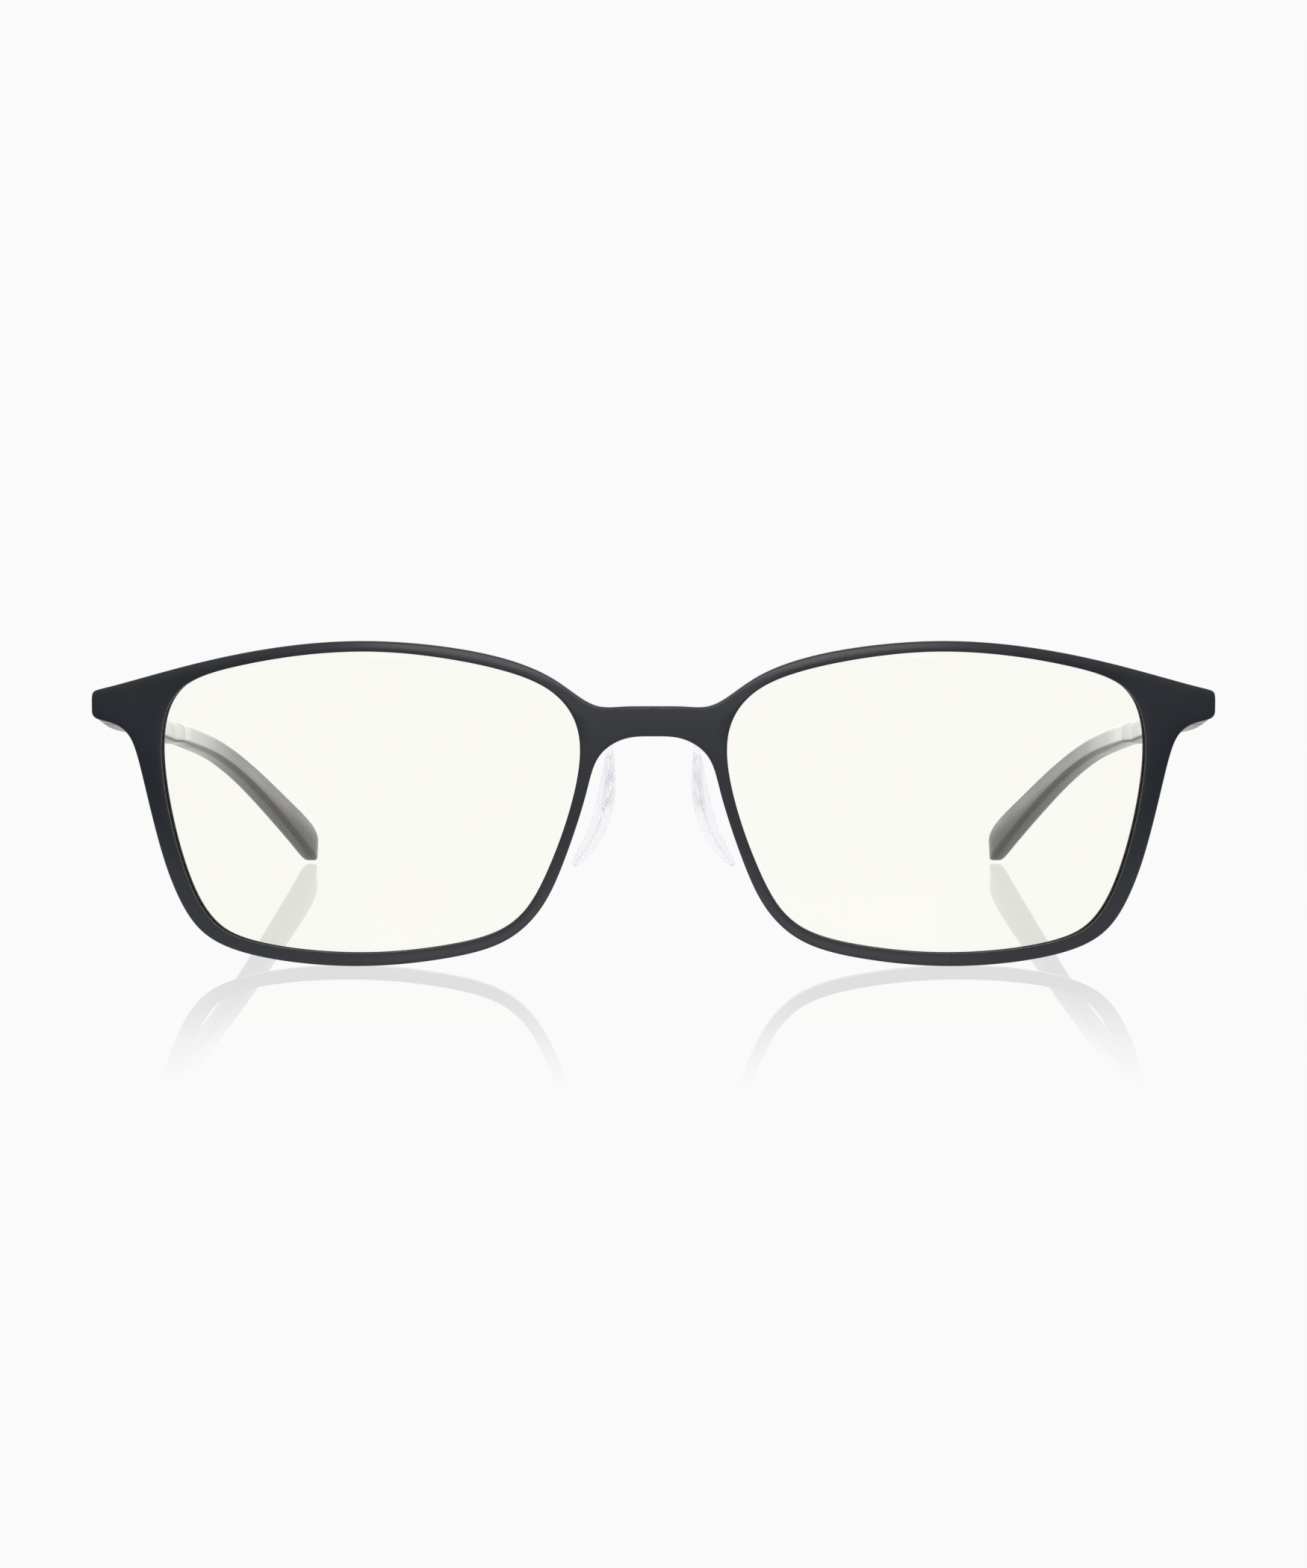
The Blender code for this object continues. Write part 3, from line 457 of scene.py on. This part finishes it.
def buildEndpiece(finish):
    # Rounded rectangles from inside the front's outer corner to the face that meets the
    # temple; the last rings shrink by a quarter circle to round that face's edge.
    middleX = (endpiece["innerX"] + endpiece["outerX"]) / 2
    width = endpiece["outerX"] - endpiece["innerX"]
    end = hingeAt - templeLine * hinge["jointGap"]
    across = np.array([1.0, 0, 0])
    rings = []
    for y, z, height in endpiece["stations"]:
        outline = roundedOutline(width, height, endpiece["corner"], 8)[0]
        rings.append(np.array([middleX, y, z]) + outline[:, :1] * across + outline[:, 1:] * np.array([0, 0, 1.0]))
    for a in np.linspace(0, pi / 2, 5):
        inset = endpiece["endRound"] * (1 - cos(a))
        back = endpiece["endRound"] * (1 - sin(a))
        outline = roundedOutline(width - 2 * inset, endpiece["endHeight"] - 2 * inset,
                                 endpiece["corner"] - inset, 8)[0]
        centre = np.array([middleX, *(end - templeLine * back)[1:]])
        rings.append(centre + outline[:, :1] * across + outline[:, 1:] * hingeUp)
    return ringSurface("endpiece", rings, finish)


frontPiece = buildFront(finishes["navyPlastic"])
leftEnd = buildEndpiece(finishes["navyPlastic"])
rightEnd = rightTwin(leftEnd, "rightEnd")
combine(frontPiece, leftEnd, "UNION")
combine(frontPiece, rightEnd, "UNION")
place(frontPiece, "front", "navy_plastic", ["front_frame"])
print("front moulded")


# ---- lenses ----

lens = {"centre": (36.3, 21.3), "intoGroove": 0.45, "bevel": 0.6, "front": 1.0, "back": 2.2, "rings": 22}


def buildLens(finish, edgeFinish):
    # ring point = centre + (rim - centre) * share, on the front's own curved surface; the
    # bevel's crest stands in the groove half way between the two faces.
    out, centre = outward(opening), np.array(lens["centre"])
    rim = opening + out * lens["intoGroove"]
    shares = np.sin(np.linspace(0.05, pi / 2, lens["rings"]))
    loops = [(centre + (rim - centre) * share, lens["front"]) for share in shares]
    loops.append((opening + out * lens["bevel"], (lens["front"] + lens["back"]) / 2))
    loops += [(centre + (rim - centre) * share, lens["back"]) for share in shares[::-1]]
    rings = [behindFace(plan, behind) for plan, behind in loops]
    # the bevel's two bands take the dark groove finish: painted shade where the clear edge sits in the groove
    return ringSurface("lens", rings, finish, 30, edgeFinish, (lens["rings"] - 1, lens["rings"]))


placePair(buildLens(finishes["clearLens"], finishes["paintedGrooveShade"]), "Lens", ("front", "front"), "clear_lens", "lens")
print("lenses ground")


# ---- nose pads and their arms ----

padArm = {
    "path": [(7.7, 4.1, 30.2), (7.3, 5.8, 30.6), (6.3, 8.6, 30.4), (5.7, 10.9, 28.4),
             (5.6, 11.7, 25.6), (5.9, 11.8, 22.2), (6.5, 11.7, 19.4)],
    "width": 2.3, "rootThick": 1.1, "bladeThick": 0.5, "flare": 0.45, "rings": 90,
}
pad = {
    "line": [(5.75, 26.7), (5.8, 24.4), (6.0, 22.0), (6.45, 19.6), (7.3, 17.0), (8.5, 14.8), (10.4, 12.2)],
    "halfWidth": 3.6, "thick": 1.6, "middleY": 11.9, "splay": radians(12), "rings": 60,
}


def buildPadArm(finish):
    # A flat strip swept along its path: wide in the plane that it bends in and thin across,
    # thinning from root to blade, flared where it leaves the rim, round at its end.
    path = curveThrough(padArm["path"], padArm["rings"])
    along = np.gradient(path, axis=0)
    along /= np.linalg.norm(along, axis=1)[:, None]
    wide = np.cross(along, [1.0, 0, 0])
    wide /= np.linalg.norm(wide, axis=1)[:, None]
    thin = np.cross(wide, along)
    share = np.linspace(0, 1, padArm["rings"])
    twist = (pad["splay"] * np.clip(share * 1.6, 0, 1))[:, None]
    wide, thin = wide * np.cos(twist) - thin * np.sin(twist), wide * np.sin(twist) + thin * np.cos(twist)
    flare = padArm["flare"] * np.clip(1 - share / 0.12, 0, 1) ** 2
    closing = np.sqrt(np.clip(1 - (np.clip(share - 0.93, 0, 1) / 0.07) ** 2, 0.02, 1))
    thick = (padArm["rootThick"] + (padArm["bladeThick"] - padArm["rootThick"]) * share + flare) \
        * (0.4 + 0.6 * closing)
    width = (padArm["width"] + flare) * closing
    outline = roundedOutline(width, thick, 0.42 * np.minimum(thick, width), 5)
    return ringSurface("padArm", sweep(path, wide, thin, outline), finish)


def buildPad(finish):
    # Ovals along the pad's line: half width = most * sqrt(1 - (2t - 1)^2), a little wider
    # towards the bottom, and the thickness falls to under half at both ends.
    line = curveThrough(pad["line"], 600)
    t = 0.5 - 0.5 * np.cos(np.linspace(0.06, pi - 0.06, pad["rings"]))
    where = t * 599
    x, z = (np.interp(where, np.arange(600), line[:, k]) for k in (0, 1))
    slope = np.gradient(line, axis=0)
    alongX, alongZ = (np.interp(where, np.arange(600), slope[:, k]) for k in (0, 1))
    along = np.stack([alongX, np.zeros_like(x), alongZ], 1)
    along /= np.linalg.norm(along, axis=1)[:, None]
    back = np.tile([sin(pad["splay"]), cos(pad["splay"]), 0.0], (len(t), 1))
    normal = np.cross(along, back)
    level = np.sqrt(np.clip(1 - (2 * t - 1) ** 2, 0, 1))
    half = pad["halfWidth"] * level * (0.92 + 0.16 * t)
    thick = pad["thick"] * (0.25 + 0.75 * level)
    turn = np.linspace(0, 2 * pi, 64, endpoint=False)
    # superellipse |a|^2.4 + |b|^2.4 = 1, flatter than an ellipse on its two sides
    outline = np.stack([half[:, None] * np.sign(np.cos(turn)) * np.abs(np.cos(turn)) ** (2 / 2.4),
                        thick[:, None] / 2 * np.sign(np.sin(turn)) * np.abs(np.sin(turn)) ** (2 / 2.4)], -1)
    centres = np.stack([x, np.full_like(x, pad["middleY"]), z], 1)
    return ringSurface("nosePad", sweep(centres, back, normal, outline), finish)


placePair(buildPadArm(finishes["clearPlastic"]), "PadArm", ("front", "front"), "clear_plastic", "pad_arm")
placePair(buildPad(finishes["clearSilicone"]), "NosePad", ("front", "front"), "clear_silicone", "nose_pad")
print("nose pads pushed on")


# ---- temples and ear tips ----

temple = {
    "start": (70.65, 17.0, 32.2), "turnIn": radians(2.7), "straight": 58,
    "thickAt": (0, 58), "thick": (3.0, 2.6),
    "heightAt": [(-6, 3.3), (0, 3.8), (8, 4.3), (26, 3.55), (40, 3.05), (52, 2.95), (66, 2.95)],
    # behind the straight part: x, y, z, thickness and height
    "bend": [(67.4, 85.0, 24.4, 2.6, 3.0), (66.6, 94.0, 23.3, 2.6, 3.1), (65.2, 104.0, 21.7, 2.6, 3.1),
             (63.7, 112.0, 20.0, 2.6, 3.15), (61.6, 121.0, 17.3, 2.65, 3.3), (59.0, 131.0, 13.5, 2.7, 3.6),
             (55.9, 142.0, 8.65, 2.7, 4.15), (53.4, 150.5, 4.6, 2.6, 4.7), (52.2, 155.2, 2.4, 2.5, 4.6),
             (51.8, 156.7, 2.0, 2.4, 4.4)],
    "corner": 0.8, "cornerSteps": 7, "endRound": 0.15,
    # the tip's end closes over this length by this much: above, below and across
    "tipAbove": (6.5, 2.9), "tipBelow": (2.6, 1.2), "tipAcross": (4.2, 1.15),
}
tongue = {"end": 68.5, "round": 6.0, "middle": 0.15, "top": 2.1, "lip": 22.0, "lipThick": 0.35, "gap": 0.05}


def templeTable():
    # Rows of x, y, z, thickness and height: a straight run, then a spline round the ear.
    turn = temple["turnIn"]
    along = np.array([-sin(turn), *(templeLine * cos(turn))[1:]])
    s = np.linspace(0, temple["straight"], 60)
    heights = curveThrough(temple["heightAt"], 400)
    straight = np.column_stack([np.array(temple["start"]) + s[:, None] * along,
                                np.interp(s, temple["thickAt"], temple["thick"]),
                                np.interp(s, heights[:, 0], heights[:, 1])])
    bend = curveThrough([straight[30], straight[59]] + temple["bend"], 900)
    bend = bend[bend[:, 1] > straight[-1, 1] + 0.3]
    rows = np.vstack([straight, bend])
    run = np.concatenate([[0], np.cumsum(np.linalg.norm(np.diff(rows[:, :3], axis=0), axis=1))])
    return rows, run


templeRows, templeRun = templeTable()


def templeSweep(name, s, shrink, finish, above=None, below=None):
    # Rounded rectangles along the temple's line; across is square to it and to the hinge's
    # axis, so the outer side of the straight part stays flat.
    s, shrink = np.asarray(s, float), np.asarray(shrink, float)
    above, below = (shrink if inset is None else inset for inset in (above, below))
    rows = np.stack([np.interp(s, templeRun, templeRows[:, k]) for k in range(5)], 1)
    ahead, behind = (np.stack([np.interp(s + step, templeRun, templeRows[:, k]) for k in range(3)], 1)
                     for step in (0.8, -0.8))
    along = ahead - behind
    inStraight = s < temple["straight"]
    along[inStraight] = templeRows[59, :3] - templeRows[0, :3]
    along /= np.linalg.norm(along, axis=1)[:, None]
    across = np.cross(along, hingeUp)
    across /= np.linalg.norm(across, axis=1)[:, None]
    up = np.cross(across, along)
    thick, height = rows[:, 3] - 2 * shrink, rows[:, 4] - above - below
    corner = np.clip(temple["corner"] - shrink, 0.3, 0.49 * np.minimum(thick, height))
    outline = roundedOutline(thick, height, corner, temple["cornerSteps"])
    middles = rows[:, :3] + up * ((below - above) / 2)[:, None]
    return ringSurface(name, sweep(middles, across, up, outline), finish)


def tonguePrism(name, grow, finish):
    # A prism across the temple. Its lower edge keeps the lip's thickness above the temple's
    # own underside, and its end is two quarter ellipses that meet at the tongue's end.
    end, top, middle = tongue["end"] + grow, tongue["top"] + grow, tongue["middle"]
    turns = np.linspace(0, pi / 2, 24)
    far = 6.0
    s = np.linspace(end - tongue["lip"], end - tongue["round"], 12)
    rows = [np.interp(s, templeRun, templeRows[:, k]) for k in (1, 2, 4)]
    rise = (rows[0] - hingeAt[1]) * hingeUp[1] + (rows[1] - hingeAt[2]) * hingeUp[2]
    floor = rise - rows[2] / 2 + tongue["lipThick"] - grow
    profile = [(-5, -far), (s[0] - 1.5, -far)] + list(zip(s, floor))
    profile += [(end - tongue["round"] * (1 - sin(a)), middle + (floor[-1] - middle) * cos(a)) for a in turns[1:]]
    profile += [(end - tongue["round"] * (1 - cos(a)), middle + (top - middle) * sin(a)) for a in turns[1:]]
    profile += [(end - tongue["round"] - 2.0, far), (-5, far)]
    profile = np.array(profile)
    flat = hingeAt + profile[:, :1] * templeLine + profile[:, 1:] * hingeUp
    rings = []
    for x in (60.0, 80.0):
        ring = flat.copy()
        ring[:, 0] = x
        rings.append(ring)
    points = np.vstack(rings)
    count = len(profile)
    faces = ringFaces(2, count, closeEnds=False) + [list(range(count))[::-1], list(range(count, 2 * count))]
    return newPiece(name, points, faces, finish)


def buildTemple(finish):
    # The hinge end's edge is rounded by a quarter circle; the tongue is what lies in the prism.
    radius = temple["endRound"]
    turns = np.linspace(0, pi / 2, 5)
    s = list(hinge["jointGap"] + radius * (1 - np.cos(turns)))
    shrink = list(radius * (1 - np.sin(turns)))
    onward = [1.5, 3, 5, 6.5, 8, 9.5, 12] + list(np.linspace(16, 56, 11)) + list(np.linspace(57, 82, 30))
    piece = templeSweep("temple", s + onward, shrink + [0.0] * len(onward), finish)
    combine(piece, tonguePrism("tongue", 0.0, finish), "INTERSECT", 35)
    return piece


def buildTip(finish):
    # The same outer shape behind the seam; its far end closes with quarter ellipses:
    # inset = most * (1 - sqrt(1 - (how far into the closing length)^2)).
    end = templeRun[-1]
    far = temple["tipAbove"][0]
    turns = np.linspace(0, pi / 2, 30)[1:]
    s = np.concatenate([np.linspace(42, end - far, 130), end - far + far * np.sin(turns)])

    def closing(length, most):
        into = np.clip(1 - (end - s) / length, 0, 1)
        return most * (1 - np.sqrt(1 - into ** 2))

    piece = templeSweep("tip", s, closing(*temple["tipAcross"]), finish,
                        closing(*temple["tipAbove"]), closing(*temple["tipBelow"]))
    combine(piece, tonguePrism("recess", tongue["gap"], finish), "DIFFERENCE", 35)
    return piece


sides = ("left_side", "right_side")
placePair(buildTemple(finishes["navyPlastic"]), "Temple", sides, "navy_plastic", "temple")
placePair(buildTip(finishes["earRubber"]), "Tip", sides, "ear_rubber", "temple_tip")
print("temples and tips fitted")


# ---- fittings that the frame already shapes ----

for name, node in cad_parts.items():
    if "core" in name:
        kept = finishes["coreWire"]
    elif "hinge" in name or "rivet" in name:
        kept = finishes["hingeSteel"]
    else:
        continue
    node.data.materials.clear()
    node.data.materials.append(kept)
print("hinges finished")


# ---- studio ----

studio = {
    "white": 0.956, "mirror": 0.24, "mirrorFrom": 95 * mm, "mirrorTo": 216 * mm,
    # radiance round the horizon, at the sides, behind the object and in front of it
    "side": 0.30, "backWall": 2.2, "frontWall": 0.75, "ceiling": 0.9, "nearby": 0.95,
    "backFrom": 0.80, "backTo": 0.97, "frontFrom": 0.88, "frontTo": 0.995,
    "ceilingFrom": 0.06, "ceilingTo": 0.32,            # how high the walls blend to the ceiling
    "nearFrom": 0.11, "nearTo": 0.24,                  # and how far out the table's own white ends
    "eyeBack": 800 * mm, "eyeHeight": 84.6 * mm, "pitch": radians(4.35), "focal": 144.1,
}


def ramp(nodes, links, value, fromMin, fromMax, toMin, toMax):
    shade = nodes.new("ShaderNodeMapRange")
    shade.interpolation_type = "SMOOTHSTEP"
    for socket, number in (("From Min", fromMin), ("From Max", fromMax), ("To Min", toMin), ("To Max", toMax)):
        shade.inputs[socket].default_value = number
    links.new(value, shade.inputs["Value"])
    return shade.outputs["Result"]


def joinValues(nodes, links, operation, a, b):
    node = nodes.new("ShaderNodeMath")
    node.operation = operation
    links.new(a, node.inputs[0])
    links.new(b, node.inputs[1])
    return node.outputs[0]


def roomShade(tree, direction):
    # With c the cosine between the direction's plan and the way back (+y):
    # radiance = max(ramp up to the back wall as c nears 1, ramp up to the front wall as c
    # nears -1).
    nodes, links = tree.nodes, tree.links
    flat = nodes.new("ShaderNodeVectorMath")
    flat.operation = "MULTIPLY"
    flat.inputs[1].default_value = (1, 1, 0)
    links.new(direction, flat.inputs[0])
    unit, split = nodes.new("ShaderNodeVectorMath"), nodes.new("ShaderNodeSeparateXYZ")
    unit.operation = "NORMALIZE"
    links.new(flat.outputs[0], unit.inputs[0])
    links.new(unit.outputs[0], split.inputs[0])
    back = ramp(nodes, links, split.outputs["Y"], studio["backFrom"], studio["backTo"],
                studio["side"], studio["backWall"])
    fore = ramp(nodes, links, split.outputs["Y"], -studio["frontTo"], -studio["frontFrom"],
                studio["frontWall"], studio["side"])
    return joinValues(nodes, links, "MAXIMUM", back, fore)


def whiteToTheEye(tree, shade):
    # Plain white where the eye or a clear piece looks straight at it, the shade elsewhere.
    nodes, links = tree.nodes, tree.links
    ray, pick = nodes.new("ShaderNodeLightPath"), nodes.new("ShaderNodeMix")
    seen = joinValues(nodes, links, "MAXIMUM", ray.outputs["Is Camera Ray"], ray.outputs["Is Transmission Ray"])
    seen = joinValues(nodes, links, "MAXIMUM", seen, ray.outputs["Is Singular Ray"])
    pick.inputs["B"].default_value = studio["white"]
    links.new(seen, pick.inputs["Factor"])
    links.new(shade, pick.inputs["A"])
    return pick.outputs["Result"]


def lightRoom():
    # Low down the room's shade goes round the horizon, and overhead it blends to the ceiling.
    world = bpy.data.worlds.new("studio")
    bpy.context.scene.world = world
    world.use_nodes = True
    nodes, links = world.node_tree.nodes, world.node_tree.links
    background, where = nodes["Background"], nodes.new("ShaderNodeTexCoord")
    split, mix = nodes.new("ShaderNodeSeparateXYZ"), nodes.new("ShaderNodeMix")
    links.new(where.outputs["Generated"], split.inputs[0])
    height = ramp(nodes, links, split.outputs["Z"], studio["ceilingFrom"], studio["ceilingTo"], 0.0, 1.0)
    links.new(height, mix.inputs["Factor"])
    links.new(roomShade(world.node_tree, where.outputs["Generated"]), mix.inputs["A"])
    mix.inputs["B"].default_value = studio["ceiling"]
    links.new(whiteToTheEye(world.node_tree, mix.outputs["Result"]), background.inputs["Strength"])
    background.inputs["Color"].default_value = (1, 1, 1, 1)


def layFloor():
    # A wide sheet of glowing white with a faint mirror near the object:
    # mirror share = studio mirror * (1 - smoothstep of the distance from the middle).
    bpy.ops.mesh.primitive_plane_add(size=30)
    floor = bpy.context.object
    floor.name = "table"
    gloss = bpy.data.materials.new("whiteTable")
    gloss.use_nodes = True
    nodes, links = gloss.node_tree.nodes, gloss.node_tree.links
    nodes.clear()
    output = nodes.new("ShaderNodeOutputMaterial")
    glow, mirror, mix = (nodes.new("ShaderNode" + kind) for kind in ("Emission", "BsdfGlossy", "MixShader"))
    mirror.inputs["Roughness"].default_value = 0.0
    mirror.inputs["Color"].default_value = (1, 1, 1, 1)
    where, length, near = (nodes.new("ShaderNode" + kind) for kind in ("TexCoord", "VectorMath", "Mix"))
    length.operation = "LENGTH"
    links.new(where.outputs["Object"], length.inputs[0])
    # close to the object the table is white all round, further off it has the room's shade
    away = ramp(nodes, links, length.outputs["Value"], studio["nearFrom"], studio["nearTo"], 0.0, 1.0)
    links.new(away, near.inputs["Factor"])
    near.inputs["A"].default_value = studio["nearby"]
    links.new(roomShade(gloss.node_tree, where.outputs["Object"]), near.inputs["B"])
    links.new(whiteToTheEye(gloss.node_tree, near.outputs["Result"]), glow.inputs["Strength"])
    fade = ramp(nodes, links, length.outputs["Value"], studio["mirrorFrom"], studio["mirrorTo"],
                studio["mirror"], 0.0)
    links.new(fade, mix.inputs["Fac"])
    links.new(glow.outputs[0], mix.inputs[1])
    links.new(mirror.outputs[0], mix.inputs[2])
    links.new(mix.outputs[0], output.inputs["Surface"])
    floor.data.materials.append(gloss)


def softbox(name, place, target, size, power):
    light = bpy.data.lights.new(name, "AREA")
    light.shape, light.size, light.size_y, light.energy = "RECTANGLE", size[0], size[1], power
    lamp = bpy.data.objects.new(name, light)
    lamp.location = place
    lamp.rotation_euler = (Vector(target) - Vector(place)).to_track_quat("-Z", "Y").to_euler()
    lamp.visible_camera = False
    bpy.context.collection.objects.link(lamp)


def setCamera():
    lensData = bpy.data.cameras.new("eye")
    lensData.lens, lensData.sensor_width = studio["focal"], 36
    lensData.clip_start = 0.01
    camera = bpy.data.objects.new("eye", lensData)
    camera.location = (0, datumY - studio["eyeBack"], studio["eyeHeight"])
    camera.rotation_euler = (pi / 2 - studio["pitch"], 0, 0)
    bpy.context.collection.objects.link(camera)
    bpy.context.scene.camera = camera


lightRoom()
layFloor()
softbox("overhead", (0, 0.05, 0.7), (0, 0, 0), (0.9, 0.6), 1.0)
softbox("frontAbove", (0, -1.2, 0.50), (0, -0.078, 0.03), (0.5, 0.4), 1.9)
setCamera()
bpy.context.scene.view_settings.view_transform = "Standard"
print("studio lit")
